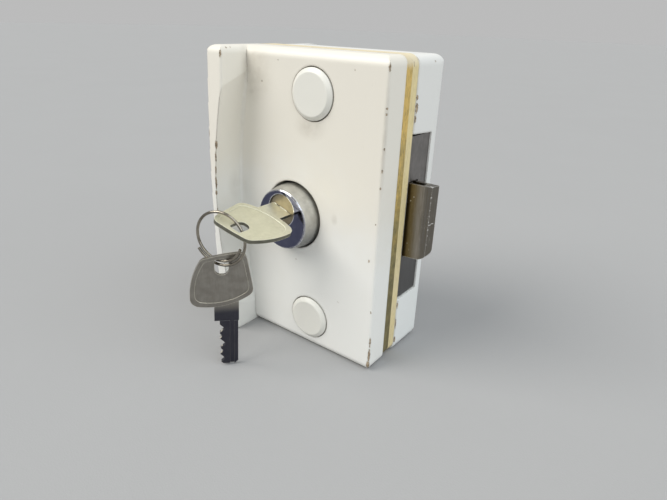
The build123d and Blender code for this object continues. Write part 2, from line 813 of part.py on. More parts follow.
# Lock box: a tray with a back and three walls, open to the front and at the bolt's side
corner_posts = [
    (x, z)
    for x in (box_left + post_inset, face_x - post_inset - box_sheet)
    for z in (box_low + post_inset, box_top - post_inset)
]
tray_right = face_x - box_sheet
with BuildPart() as lock_box:
    block((box_left, tray_right), (box_low, box_top), tray_front, box_back)
    block(
        (box_left + box_sheet, tray_right),
        (box_low + box_sheet, box_top - box_sheet),
        tray_front,
        box_back - box_sheet,
        mode=Mode.SUBTRACT,
    )
    for place in corner_posts + guide_places:
        round_bar(place, rivet_radius, box_back - box_sheet, box_back, Mode.SUBTRACT)
    for place in box_screw_places:
        round_bar(place, box_screw_radius, box_back - box_sheet, box_back, Mode.SUBTRACT)
    for wall in ((box_low, box_low + box_sheet), (box_top - box_sheet, box_top)):
        fold_room = (tray_front, tray_front + bend_radius)
        block((face_x - bend_radius, tray_right), wall, fold_room[0], fold_room[1], mode=Mode.SUBTRACT)
lock_box.part.label = "lock_box"

# Lock face: one sheet, folded round the liner's side, that covers the tray and shows the slot
with BuildPart() as lock_face:
    with BuildSketch(Plane.XY.offset(box_low)) as fold:
        with BuildLine():
            Polyline(
                (box_left, case_front),
                (face_x, case_front),
                (face_x, box_back),
                (face_x - box_sheet, box_back),
                (face_x - box_sheet, cover_back),
                (box_left, cover_back),
                close=True,
            )
        make_face()
        outer_corner = fold.vertices().sort_by_distance((face_x, case_front))[0]
        fillet(outer_corner, bend_radius)
        inner_corner = fold.vertices().sort_by_distance((face_x - box_sheet, cover_back))[0]
        fillet(inner_corner, bend_radius - box_sheet)
    extrude(amount=box_height)
    block(
        (face_x - box_sheet - bend_radius, face_x),
        (bolt_low - slot_end_room, bolt_top + slot_end_room),
        bolt_front - slot_side_room,
        bolt_back + slot_back_room,
        mode=Mode.SUBTRACT,
    )
    round_bar(plug, cam_hub_radius + cam_hub_clearance, case_front, cover_back, Mode.SUBTRACT)
    for place in corner_posts + guide_places:
        round_bar(place, rivet_radius, case_front, cover_back, Mode.SUBTRACT)
lock_face.part.label = "lock_face"

# Posts that hold the cover and the tray apart, riveted into both
with BuildPart() as box_posts:
    for place in corner_posts:
        round_bar(place, post_radius, cover_back, box_back - box_sheet)
        round_bar(place, rivet_radius, case_front, box_back)
box_posts.part.label = "box_posts"

with BuildPart() as box_screws:
    for place in box_screw_places:
        head_depth = box_back - box_sheet - box_screw_head_height
        round_bar(place, box_screw_head, head_depth, box_back - box_sheet)
        round_bar(place, box_screw_radius, head_depth, box_screw_tip)
        with BuildSketch(depth_plane(head_depth + box_screw_head_height / 2)):
            with Locations(place):
                Rectangle(2 * box_screw_head, screwdriver_slot)
        extrude(amount=box_screw_head_height / 2, mode=Mode.SUBTRACT)
box_screws.part.label = "box_screws"

# Dead bolt: a hollow nose on a tail plate behind the cam; the crank pin drives it by an upright slot
tail_left = crank_place[0] - crank_pin_radius - crank_slot_room - tail_margin
crank_lowest = plug_z - crank_radius
with BuildPart() as dead_bolt:
    with BuildSketch(depth_plane(bolt_back)) as nose:
        with Locations(((nose_left + bolt_right) / 2, (bolt_low + bolt_top) / 2)):
            Rectangle(bolt_right - nose_left, bolt_height)
        tip_corner = nose.vertices().sort_by_distance((bolt_right, bolt_low))[0]
        fillet(tip_corner, bolt_corner_radius)
    extrude(amount=bolt_thickness)
    with BuildSketch(Plane.XY.offset(bolt_low)):
        with BuildLine():
            tip_edge = (bolt_right - bolt_tip_slant, bolt_front + bolt_tip_setback)
            Polyline(
                tip_edge,
                (bolt_right, bolt_back),
                (bolt_right + cut_overrun, bolt_back),
                (bolt_right + cut_overrun, bolt_front - cut_overrun),
                (face_x, bolt_front - cut_overrun),
                (face_x, bolt_front),
            )
            ThreePointArc(
                (face_x, bolt_front),
                ((face_x + tip_edge[0]) / 2, bolt_front + bolt_swell),
                tip_edge,
            )
        make_face()
    extrude(amount=bolt_height, mode=Mode.SUBTRACT)
    with BuildSketch(Plane.XY.offset(bolt_top)):
        with BuildLine():
            Polyline(
                (face_x - box_sheet, bolt_front + pocket_wall),
                (bolt_right - pocket_tip, bolt_front + pocket_wall + bolt_swell),
                (bolt_right - pocket_tip, bolt_back - pocket_wall),
                (face_x - box_sheet, bolt_back - pocket_wall),
                close=True,
            )
        make_face()
    extrude(amount=-pocket_depth, mode=Mode.SUBTRACT)
    block((tail_left, nose_left), (bolt_low, bolt_top), tail_front, bolt_back)
    slot(
        (crank_place[0], (crank_place[1] + crank_lowest) / 2),
        crank_place[1] - crank_lowest,
        2 * (crank_pin_radius + crank_slot_room),
        90,
        tail_front,
        bolt_back,
    )
    for x, z in guide_places:
        slot(
            (x + bolt_reach / 2, z),
            bolt_reach,
            2 * (guide_radius + bearing_clearance),
            0,
            bolt_front,
            bolt_back,
        )
dead_bolt.part.label = "dead_bolt"

# Guide pins through the bolt's slots, with a shoulder behind the bolt, riveted in the cover and the tray
with BuildPart() as guide_pins:
    for place in guide_places:
        round_bar(place, rivet_radius, case_front, box_back)
        round_bar(place, guide_radius, cover_back, box_back - box_sheet)
        round_bar(place, guide_shoulder_radius, bolt_back + layer_gap, box_back - box_sheet)
guide_pins.part.label = "guide_pins"

# Cam: a disc behind the cover, its hub in the cover's hole and the plug's tail in its slot
with BuildPart() as turning_cam:
    round_bar(plug, cam_radius, cam_front, cam_back)
    round_bar(plug, cam_hub_radius, neck_end + layer_gap, cam_front)
    with BuildSketch(across_plug(cam_back)):
        Rectangle(tail_width + 2 * tail_clearance, tail_thickness + 2 * tail_clearance)
    extrude(amount=cam_back - neck_end, mode=Mode.SUBTRACT)
    round_bar(crank_place, crank_pin_radius, cam_front, cam_back, Mode.SUBTRACT)
turning_cam.part.label = "turning_cam"

with BuildPart() as crank_pin:
    round_bar(crank_place, crank_pin_radius, cam_front, bolt_back)
crank_pin.part.label = "crank_pin"

pieces = [
    front_plate.part,
    front_liner_part,
    rear_liner_part,
    rear_case.part,
    upper_cap,
    lower_cap,
    clamp_screws.part,
    screw_sleeves.part,
    cylinder_housing.part,
    cylinder_screws.part,
    face_ring.part,
    key_plug.part,
    plug_clip.part,
    key_pins.part,
    driver_pins.part,
    pin_springs.part,
    chamber_cover.part,
    inserted_key,
    key_ring.part,
    hanging_key,
    lock_box.part,
    lock_face.part,
    box_posts.part,
    box_screws.part,
    dead_bolt.part,
    guide_pins.part,
    turning_cam.part,
    crank_pin.part,
]
os.makedirs("parts", exist_ok=True)
for piece in pieces:
    export_step(piece, f"parts/{piece.label}.step")
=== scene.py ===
# %% [markdown]
# # A glass door lock
# The lock clamps a glass door between two painted halves. A key stands in the cylinder, a second
# key hangs from its ring, and a worn steel bolt looks out of the side. The solids come ready made
# from the CAD frame, so this lesson is about their surfaces: paint that has lived on a door,
# cast, rolled and plated metals, soiled liners, and the light that shows them.

import json
import math

import bmesh
import bpy
from mathutils import Matrix, Vector


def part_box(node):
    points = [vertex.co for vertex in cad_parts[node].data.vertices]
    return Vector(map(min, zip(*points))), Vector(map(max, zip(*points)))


MM = 0.001  # one millimetre in Blender's metres

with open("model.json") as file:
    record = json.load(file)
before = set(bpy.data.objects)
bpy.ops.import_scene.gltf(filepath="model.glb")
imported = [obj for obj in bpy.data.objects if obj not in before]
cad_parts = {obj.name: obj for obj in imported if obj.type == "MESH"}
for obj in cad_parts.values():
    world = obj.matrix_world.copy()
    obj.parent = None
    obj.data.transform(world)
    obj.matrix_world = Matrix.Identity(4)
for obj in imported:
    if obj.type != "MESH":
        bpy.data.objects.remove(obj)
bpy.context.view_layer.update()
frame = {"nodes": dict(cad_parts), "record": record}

# %% [markdown]
# ## Helpers for shader nodes
# A material is a small machine of nodes. It could be wired by hand in the shader editor, but
# fifty nodes hide the idea, so a few helpers place one node each and return its output. A value
# that is itself an output is linked, and any other value is typed into the socket.

# %% One node
def put(tree, kind, feeds=None, **settings):
    """Adds one node, sets it up and feeds its inputs."""
    node = tree.nodes.new(kind)
    for name, value in settings.items():
        setattr(node, name, value)
    for name, value in (feeds or {}).items():
        if isinstance(value, bpy.types.NodeSocket):
            tree.links.new(value, node.inputs[name])
        else:
            node.inputs[name].default_value = value
    return node


print("helper:", put.__name__)


# %% Sums with values and vectors
def maths(tree, operation, first, second=0.0):
    """One sum, product or other operation on two values."""
    return put(tree, "ShaderNodeMath", {0: first, 1: second}, operation=operation).outputs[0]


def vectors(tree, operation, first, second=None):
    """The same for vectors; a length and a dot product give a value, the rest a vector."""
    feeds = {0: first}
    if second is not None:
        feeds["Scale" if operation == "SCALE" else 1] = second
    node = put(tree, "ShaderNodeVectorMath", feeds, operation=operation)
    return node.outputs["Value" if operation in ("LENGTH", "DOT_PRODUCT") else "Vector"]


def along(tree, where, axis):
    """One coordinate of a place."""
    return put(tree, "ShaderNodeSeparateXYZ", {0: where}).outputs[axis]


def fade(tree, value, start, end):
    """Goes softly from 0 to 1 while value goes from start to end."""
    feeds = {"Value": value, "From Min": start, "From Max": end}
    return put(tree, "ShaderNodeMapRange", feeds, interpolation_type="SMOOTHSTEP").outputs[0]


def between(tree, value, low, high):
    """Brings a value that goes from 0 to 1 to lie between two others."""
    return maths(tree, "ADD", maths(tree, "MULTIPLY", value, high - low), low)


print("helpers:", [helper.__name__ for helper in (maths, vectors, along, fade, between)])


# %% Colours and noise
def tint(tree, share, under, over):
    """Lays one colour over another by a share."""
    return put(tree, "ShaderNodeMix", {0: share, 6: under, 7: over}, data_type="RGBA").outputs[2]


def cover(tree, colour, mask, most, over):
    """Lays a colour over what is there, where the mask is; most is the mask's full share."""
    return tint(tree, maths(tree, "MULTIPLY", mask, most), colour, over)


def place_mm(tree):
    """The place on the part in millimetres; it goes with the piece when a joint moves."""
    return vectors(tree, "SCALE", put(tree, "ShaderNodeTexCoord").outputs["Object"], 1 / MM)


def cloud(tree, where, scale, detail=3.0, rough=0.55):
    """Soft noise between 0 and 1; scale is in features per millimetre."""
    feeds = {"Vector": where, "Scale": scale, "Detail": detail, "Roughness": rough}
    return put(tree, "ShaderNodeTexNoise", feeds).outputs["Fac"]


print("helpers:", [helper.__name__ for helper in (tint, cover, place_mm, cloud)])

# %% [markdown]
# ## Shader groups
# Wear, dirt and grain come back on nearly every piece of the lock. They could be copied into each
# material, but then a change has to be made many times. As a shader group an effect is built
# once, with named inputs, and each material places it with values of its own.

# %% Group helpers
def start_group(name, inputs):
    """Begins a shader group; an input that starts as one number is a value, others are vectors."""
    tree = bpy.data.node_groups.new(name, "ShaderNodeTree")
    for label, value in inputs.items():
        kind = "NodeSocketFloat" if isinstance(value, float) else "NodeSocketVector"
        tree.interface.new_socket(label, in_out="INPUT", socket_type=kind).default_value = value
    return tree, tree.nodes.new("NodeGroupInput").outputs


def end_group(tree, label, value):
    """Gives the group its one named output."""
    tree.interface.new_socket(label, in_out="OUTPUT", socket_type="NodeSocketFloat")
    tree.links.new(value, tree.nodes.new("NodeGroupOutput").inputs[label])
    print("group:", tree.name)


def effect(tree, name, feeds):
    """Places a finished group in a material and returns its output."""
    group = bpy.data.node_groups[name]
    return put(tree, "ShaderNodeGroup", feeds, node_tree=group).outputs[0]


print("helpers:", [helper.__name__ for helper in (start_group, end_group, effect)])

# %% [markdown]
# ## Worn edges and highlights
# Paint and plating go first where hands and doors rub: on the edges. Curvature could be baked
# into the mesh, but these meshes have few vertices. The Bevel node finds edges by itself: it
# returns the normal that a rounded edge would have, and where that differs from the real normal,
# there is an edge. A noise breaks the band up, because wear is never even. On the metals the same
# band also carries painted highlights.

# %% Group: edge wear and highlight
bend_gain = 7.0  # lifts the small bend at an edge to the range of the noise

tree, given = start_group("edge wear and highlight", {"Reach": 0.6, "Share": 0.5, "Grain": 0.8})
radius = maths(tree, "MULTIPLY", given["Reach"], MM)
rounded = put(tree, "ShaderNodeBevel", {"Radius": radius}, samples=6).outputs[0]
real = put(tree, "ShaderNodeNewGeometry").outputs["Normal"]
bend = maths(tree, "SUBTRACT", 1.0, vectors(tree, "DOT_PRODUCT", rounded, real))
level = maths(tree, "MULTIPLY", maths(tree, "MULTIPLY", bend, bend_gain), given["Share"])
patches = cloud(tree, place_mm(tree), given["Grain"], detail=5.0, rough=0.65)
above = maths(tree, "SUBTRACT", level, patches)
end_group(tree, "Mask", fade(tree, above, start=0.0, end=0.12))

# %% [markdown]
# ## Shade and dirt in the corners
# Corners, joints and recesses are darkened in colour: painted shade where little light reaches,
# with some dirt, round the caps, the cylinder and the liners. It could be painted by hand along
# each joint. Ambient occlusion measures how closed in a point is, so it finds the same places by
# itself, and a noise makes the darkening uneven.

# %% Group: corner shade and dirt
least_darkening = 0.4  # so that no corner is left without painted shade and dirt

tree, given = start_group("corner shade and dirt", {"Reach": 2.0, "Share": 0.5})
distance = maths(tree, "MULTIPLY", given["Reach"], MM)
light_in = put(tree, "ShaderNodeAmbientOcclusion", {"Distance": distance}, samples=8)
closed = maths(tree, "SUBTRACT", 1.0, light_in.outputs["AO"])
uneven = cloud(tree, place_mm(tree), scale=0.5, detail=4.0, rough=0.6)
uneven = maths(tree, "ADD", uneven, least_darkening)
amount = maths(tree, "MULTIPLY", maths(tree, "MULTIPLY", closed, uneven), given["Share"])
end_group(tree, "Mask", fade(tree, amount, start=0.05, end=0.75))

# %% [markdown]
# ## Chips, stains and painted shade
# Some damage belongs to one place, and a noise over the whole part would never put it there. A
# chip is an ellipsoid around a point of the surface, its outline torn by a noise. A stain is the
# same with a soft outline, and on the plate some soft spots are painted shade of the flange. Both
# are solid shapes in space, so they fit round an edge as well.

# %% Groups: chip and stain
spot = {"Centre": (0.0, 0.0, 0.0), "Half size": (1.0, 1.0, 1.0)}


def outwards(tree, where, given):
    """How far out in a spot a place lies: 0 at the spot's centre and 1 on its skin."""
    off = vectors(tree, "SUBTRACT", where, given["Centre"])
    return vectors(tree, "LENGTH", vectors(tree, "DIVIDE", off, given["Half size"]))


tree, given = start_group("chip", {**spot, "Ragged": 0.8})
where = place_mm(tree)
feeds = {"Vector": where, "Scale": 2.6, "Detail": 5.0, "Roughness": 0.75}
shake = put(tree, "ShaderNodeTexNoise", feeds).outputs["Color"]
centred = vectors(tree, "SUBTRACT", shake, (0.5, 0.5, 0.5))
reach = maths(tree, "MULTIPLY", given["Ragged"], 2.0)
torn = vectors(tree, "ADD", where, vectors(tree, "SCALE", centred, reach))
end_group(tree, "Mask", fade(tree, outwards(tree, torn, given), start=1.0, end=0.82))

tree, given = start_group("stain", spot)
where = place_mm(tree)
soft = fade(tree, outwards(tree, where, given), start=1.0, end=0.1)
blotches = cloud(tree, where, scale=0.35, detail=4.0)
end_group(tree, "Mask", maths(tree, "MULTIPLY", soft, blotches))


# %% Many spots in one mask
def all_spots(tree, kind, spots, **more):
    """The mask of many chips or stains together; a spot is a centre and a half size in mm."""
    masks = [
        effect(tree, kind, {"Centre": centre, "Half size": half, **more}) for centre, half in spots
    ]
    total = masks[0]
    for mask in masks[1:]:
        total = maths(tree, "MAXIMUM", total, mask)
    return total


print("helper:", all_spots.__name__)

# %% [markdown]
# ## Scratches
# Years of keys and hands leave fine scratches. They could be drawn one by one as curves, but
# hundreds are needed. A contour line of a stretched noise is thin, long and never straight, and a
# second noise breaks the lines up.

# %% Group: scratches
halfway = 0.5  # the middle value of a noise, where its contour line is drawn

tree, given = start_group("scratches", {"Stretch": (1.0, 1.0, 0.08), "Width": 0.012, "Share": 0.5})
where = place_mm(tree)
drawn = vectors(tree, "MULTIPLY", where, given["Stretch"])
hills = cloud(tree, drawn, scale=1.0, detail=1.5, rough=0.5)
line = maths(tree, "ABSOLUTE", maths(tree, "SUBTRACT", hills, halfway))
thin = fade(tree, line, start=given["Width"], end=0.0)
least = maths(tree, "SUBTRACT", 1.0, given["Share"])
there = fade(tree, cloud(tree, where, scale=0.22), start=least, end=0.75)
end_group(tree, "Mask", maths(tree, "MULTIPLY", thin, there))

# %% [markdown]
# ## Specks
# Dust in the lacquer and small pits are dots of different sizes, far apart. A noise that is cut
# off high up gives blots instead, and they run together. A Voronoi pattern has one point in each
# cell, so a dot is drawn round it, the cell's random colour gives its size, and only a share of
# the cells gets one.

# %% Group: specks
least_size = 0.4  # the smallest dot, as a share of the given size
core_share = 0.7  # how much of a dot is full before it fades

tree, given = start_group("specks", {"Spacing": 5.0, "Size": 0.15, "Share": 0.3})
density = maths(tree, "DIVIDE", 1.0, given["Spacing"])
feeds = {"Vector": place_mm(tree), "Scale": density, "Randomness": 1.0}
cells = put(tree, "ShaderNodeTexVoronoi", feeds).outputs
chance = put(tree, "ShaderNodeSeparateColor", {0: cells["Color"]}).outputs
apart = maths(tree, "MULTIPLY", cells["Distance"], given["Spacing"])
size = maths(tree, "MULTIPLY", given["Size"], maths(tree, "ADD", chance[1], least_size))
dot = fade(tree, apart, start=size, end=maths(tree, "MULTIPLY", size, core_share))
kept = maths(tree, "LESS_THAN", chance[0], given["Share"])
end_group(tree, "Mask", maths(tree, "MULTIPLY", dot, kept))

# %% [markdown]
# ## Grain
# Rolled, ground or cut stock has fine lines along one way. The Wave texture draws lines too, but
# they are all alike. A noise that is stretched along that way is as uneven as the real ones, and
# the same group serves every metal and the liners' cut edges.

# %% Group: grain
tree, given = start_group("grain", {"Stretch": (1.0, 1.0, 0.05)})
drawn = vectors(tree, "MULTIPLY", place_mm(tree), given["Stretch"])
end_group(tree, "Value", cloud(tree, drawn, scale=1.0, detail=4.0, rough=0.6))

# %% [markdown]
# ## Finishing a surface
# Every material ends the same way: colour, roughness and metal share go into one Principled
# BSDF, and a height goes through Bump into its normal. The CAD's edges are sharp, and no real
# edge is. They could be bevelled in the mesh, but the solids stay as they are, so a Bevel node
# under the bump rounds the light on them instead.

# %% Surface helpers
made = {}


def surface(slot):
    """Opens the material for one slot of the record."""
    material = bpy.data.materials.new(slot.replace("_", " "))
    material.use_nodes = True
    material.node_tree.nodes.clear()
    made[slot] = material
    return material.node_tree


def shade(tree, colour, roughness, height, depth_mm, metallic=0.0, edge_mm=0.12, specular=0.5):
    """Joins colour, roughness and height in one shader."""
    edge = put(tree, "ShaderNodeBevel", {"Radius": edge_mm * MM}, samples=4).outputs[0]
    feeds = {"Height": height, "Strength": 1.0, "Distance": depth_mm * MM, "Normal": edge}
    relief = put(tree, "ShaderNodeBump", feeds).outputs[0]
    feeds = {"Base Color": colour, "Roughness": roughness, "Metallic": metallic}
    feeds.update({"Specular IOR Level": specular, "Normal": relief})
    shader = put(tree, "ShaderNodeBsdfPrincipled", feeds)
    put(tree, "ShaderNodeOutputMaterial", {"Surface": shader.outputs[0]})


print("helpers:", surface.__name__, shade.__name__)

# %% [markdown]
# ## Where the lacquer is damaged
# The flange is gripped and knocked at every opening, the foot's corner meets the floor, and the
# case chips where it meets the liner. Such marks could be an image on the mesh. Here each is a
# spot with a centre and a half size in millimetres, so it needs no image and sits on its edge
# from every side.

# %% Chips of the front flange and the plate
flange_chips = [
    ((-33.0, -27.8, 57.7), (0.45, 0.65, 1.5)),
    ((-33.3, -24.5, 59.6), (0.5, 0.35, 0.3)),
    ((-33.4, -22.4, 59.7), (0.4, 0.3, 0.25)),
    ((-40.0, -29.7, 28.4), (0.6, 1.0, 1.9)),
    ((-40.1, -29.8, 33.5), (0.4, 0.6, 0.7)),
    ((-36.0, -29.8, 24.4), (0.6, 1.0, 1.9)),
    ((-36.5, -29.9, 19.5), (0.3, 0.5, 2.6)),
    ((-36.8, -30.0, 14.2), (0.35, 0.5, 2.0)),
    ((-37.1, -30.0, 9.0), (0.4, 0.6, 3.0)),
    ((-37.3, -30.1, 4.8), (0.6, 0.7, 1.0)),
    ((-37.2, -30.0, -3.0), (0.25, 0.4, 1.6)),
]
plate_chips = [
    ((31.0, -15.0, 57.0), (0.4, 0.5, 1.5)),
    ((31.0, -15.0, 44.5), (0.4, 0.5, 0.45)),
    ((31.0, -15.0, 42.6), (0.5, 0.5, 0.5)),
    ((31.0, -15.0, 31.3), (0.35, 0.4, 0.5)),
    ((30.8, -15.1, 23.7), (0.3, 0.4, 0.8)),
    ((30.7, -15.1, 17.6), (0.3, 0.3, 0.5)),
    ((29.8, -15.2, 4.2), (0.35, 0.3, 0.35)),
    ((28.0, -15.2, -10.7), (0.4, 0.3, 0.75)),
    ((30.4, -15.2, -31.8), (0.35, 0.3, 0.6)),
    ((30.9, -15.0, -45.5), (0.35, 0.5, 2.6)),
    ((30.8, -15.0, -51.5), (0.5, 0.6, 3.4)),
    ((30.6, -15.0, -56.6), (0.8, 0.8, 2.6)),
    ((-24.7, -15.2, 48.1), (0.3, 0.3, 0.3)),
    ((-16.3, -15.2, 56.1), (0.22, 0.3, 0.22)),
    ((17.8, -15.2, 55.3), (0.22, 0.3, 0.2)),
    ((-7.6, -15.2, -20.9), (0.3, 0.3, 0.25)),
    ((14.8, -15.2, -33.0), (0.45, 0.3, 0.16)),
]
print("chips of the flange and the plate:", len(flange_chips), len(plate_chips))

# %% Chips of the case
case_chips = [
    ((31.1, 4.3, 46.2), (0.4, 0.9, 1.1)),
    ((31.1, 4.5, 42.6), (0.4, 1.2, 2.0)),
    ((31.1, 4.3, 38.8), (0.4, 0.8, 1.6)),
    ((31.1, 4.2, -37.0), (0.4, 0.7, 2.4)),
    ((31.1, 4.2, -46.0), (0.4, 0.6, 3.4)),
    ((31.1, 4.5, -54.0), (0.4, 0.8, 1.8)),
    ((31.0, 4.8, -58.6), (0.5, 1.1, 0.9)),
    ((31.0, 6.2, 59.6), (0.5, 0.7, 0.5)),
    ((31.0, 15.6, 57.8), (0.3, 0.5, 0.4)),
    ((-40.2, 30.3, 30.0), (0.5, 0.8, 1.2)),
    ((-34.0, 30.6, -12.0), (0.5, 0.7, 1.6)),
    ((-37.0, 31.1, -38.0), (0.9, 0.4, 0.5)),
    ((-40.2, 4.4, 50.0), (0.5, 0.5, 1.1)),
    ((31.0, 21.6, -57.5), (0.8, 0.8, 0.6)),
    ((30.4, 22.2, 21.0), (0.5, 0.6, 0.9)),
    ((9.0, 22.3, -58.7), (1.5, 0.5, 0.6)),
    ((-12.0, 22.4, 58.6), (0.9, 0.5, 0.5)),
]
print("chips of the case:", len(case_chips))

# %% Stains of both halves, and painted shade on the plate
plate_stains_and_shade = [
    # The first, second and fifth spots of the plate are painted shade of the flange and its
    # crease.
    ((-36.5, -19.0, 5.0), (3.5, 6.0, 9.0)),
    ((-30.5, -15.4, 44.0), (3.0, 2.5, 2.0)),
    ((11.5, -15.2, 1.5), (2.0, 1.0, 3.0)),
    ((-1.0, -15.2, 34.0), (9.0, 1.0, 6.0)),
    ((-29.0, -15.4, 52.0), (13.0, 4.0, 17.0)),
    ((30.9, -15.0, 34.0), (1.3, 1.6, 30.0)),
]
case_stains = [
    ((31.0, 4.2, 40.0), (0.8, 0.9, 18.0)),
    ((31.0, 4.2, -46.0), (0.8, 0.8, 14.0)),
    ((2.0, 22.6, -38.0), (20.0, 1.5, 11.0)),
    ((-29.0, 22.6, 8.0), (5.0, 3.0, 30.0)),
]
print("stains:", len(plate_stains_and_shade) + len(case_stains))

# %% [markdown]
# ## Lacquer
# Both halves are cast metal under a cream lacquer. It is satin, with the faint ripple of a
# sprayed coat. Its colour is painted warmer towards the top and cooler low down, as warm light
# from above and cool light from below make it, and it carries specks and thin scratches. Corners
# are darkened with painted shade and some dirt. A coat could be a second shader over the metal,
# but it hides the metal fully, so it is one shader, and where a chip, a speck or a worn edge opens
# it, the colour goes over to the brown primer below, the surface turns rougher and the height
# drops by the coat's thickness.

# %% Lacquer
# the colour of painted shade and some dirt in corners and joints
shade_and_grime = (0.20, 0.17, 0.11, 1)
scratch_grey = (0.35, 0.33, 0.28, 1)
stain_and_shade_brown = (0.30, 0.25, 0.18, 1)
primer_dark = (0.14, 0.10, 0.055, 1)
primer_pale = (0.46, 0.36, 0.25, 1)
# where the painted warm light begins and where it is full, as heights in mm
least_warm_mm, most_warm_mm = -35.0, 60.0
coat_mm = 0.07
primer_rough = 0.3  # how much rougher the primer is than the coat


def lacquer(slot, paint, warm_top, chips, soft_spots):
    """Satin lacquer over primer and cast metal."""
    tree = surface(slot)
    where = place_mm(tree)
    # sun is painted light: the colour turns warmer towards the top and cooler low down, with a
    # random tone
    sun = fade(tree, along(tree, where, "Z"), start=least_warm_mm, end=most_warm_mm)
    sun = maths(tree, "ADD", sun, cloud(tree, where, scale=0.035))
    colour = tint(tree, fade(tree, sun, start=0.45, end=1.25), paint, warm_top)
    # painted shade with some dirt where the lacquer meets corners and joints
    shade_and_dirt = effect(tree, "corner shade and dirt", {"Reach": 2.2, "Share": 0.55})
    colour = cover(tree, colour, shade_and_dirt, most=0.5, over=shade_and_grime)
    feeds = {"Stretch": (0.5, 0.5, 0.06), "Width": 0.006, "Share": 0.42}
    colour = cover(tree, colour, effect(tree, "scratches", feeds), most=0.25, over=scratch_grey)
    # stains, and on the plate painted shade of the flange
    colour = cover(tree, colour, all_spots(tree, "stain", soft_spots), most=0.45, over=stain_and_shade_brown)
    specks = effect(tree, "specks", {"Spacing": 9.0, "Size": 0.13, "Share": 0.35})
    worn = effect(tree, "edge wear and highlight", {"Reach": 0.5, "Share": 0.3, "Grain": 0.45})
    opened = maths(tree, "MAXIMUM", specks, worn)
    opened = maths(tree, "MAXIMUM", all_spots(tree, "chip", chips), opened)
    mottle = fade(tree, cloud(tree, where, scale=1.6, detail=4.0), start=0.35, end=0.65)
    colour = tint(tree, opened, colour, tint(tree, mottle, primer_dark, primer_pale))
    satin = between(tree, cloud(tree, where, scale=0.12, detail=4.0), low=0.30, high=0.46)
    roughness = maths(tree, "ADD", satin, maths(tree, "MULTIPLY", opened, primer_rough))
    ripple = between(tree, cloud(tree, where, scale=0.55, detail=2.0), low=0.0, high=0.25)
    shade(tree, colour, roughness, maths(tree, "SUBTRACT", ripple, opened), coat_mm, edge_mm=1.1)
    print("lacquer:", slot)


lacquer(
    "painted_plate",
    paint=(0.79, 0.787, 0.75, 1),
    warm_top=(0.755, 0.72, 0.64, 1),
    chips=flange_chips + plate_chips,
    soft_spots=plate_stains_and_shade,
)
lacquer(
    "painted_case",
    paint=(0.765, 0.78, 0.76, 1),
    warm_top=(0.735, 0.73, 0.70, 1),
    chips=case_chips,
    soft_spots=case_stains,
)

# %% [markdown]
# ## Caps
# The two caps are moulded plastic in the same white. Plastic has no coat that could chip: it has
# a softer shine, a fine moulded skin and a grey line of painted shade and dirt round its foot. The
# lacquer could be reused without its chips, but its ripple is too coarse for pieces of this size.

# %% Cap plastic
cap_white = (0.755, 0.74, 0.68, 1)
cap_cream = (0.72, 0.71, 0.65, 1)
foot_shade_and_dirt = (0.16, 0.14, 0.10, 1)

tree = surface("cap_plastic")
where = place_mm(tree)
colour = tint(tree, cloud(tree, where, scale=0.08), cap_white, cap_cream)
# a grey line of painted shade, with some dirt, round the foot of each cap
shade_and_dirt = effect(tree, "corner shade and dirt", {"Reach": 1.2, "Share": 0.8})
colour = cover(tree, colour, shade_and_dirt, most=0.6, over=foot_shade_and_dirt)
rubbed = effect(tree, "scratches", {"Stretch": (0.8, 0.8, 0.3), "Width": 0.008, "Share": 0.45})
roughness = between(tree, rubbed, low=0.36, high=0.61)
skin = between(tree, cloud(tree, where, scale=2.5), low=0.0, high=0.3)
shade(tree, colour, roughness, skin, depth_mm=0.03, edge_mm=0.3)
print("plastic:", made["cap_plastic"].name)

# %% [markdown]
# ## Liners
# Two sheets of plastic keep metal off the glass. The front one has turned amber, and its darker
# tones are partly painted shade of its recess; the rear one is a paler cream. Both have taken up
# dark olive dirt in the streaks of their cut edges, and both are darker towards the bottom, the
# front one most. The seam against the metal is darkened with painted shade and some dirt. Their
# tops have bleached, and a small crack starts in a top corner. The streaks could be cut into the
# solids, but at this size a stretched noise in the bump reads the same.

# %% Liners
liner_cracks = [
    ((30.6, 0.3, 58.6), (0.6, 0.45, 0.13)),
    ((30.7, 1.0, 57.9), (0.6, 0.16, 0.5)),
    ((30.7, 0.95, 57.0), (0.6, 0.13, 0.6)),
]
crack_brown = (0.16, 0.10, 0.05, 1)
seam_shade_and_dirt = (0.10, 0.07, 0.03, 1)
bleached = (0.70, 0.62, 0.45, 1)


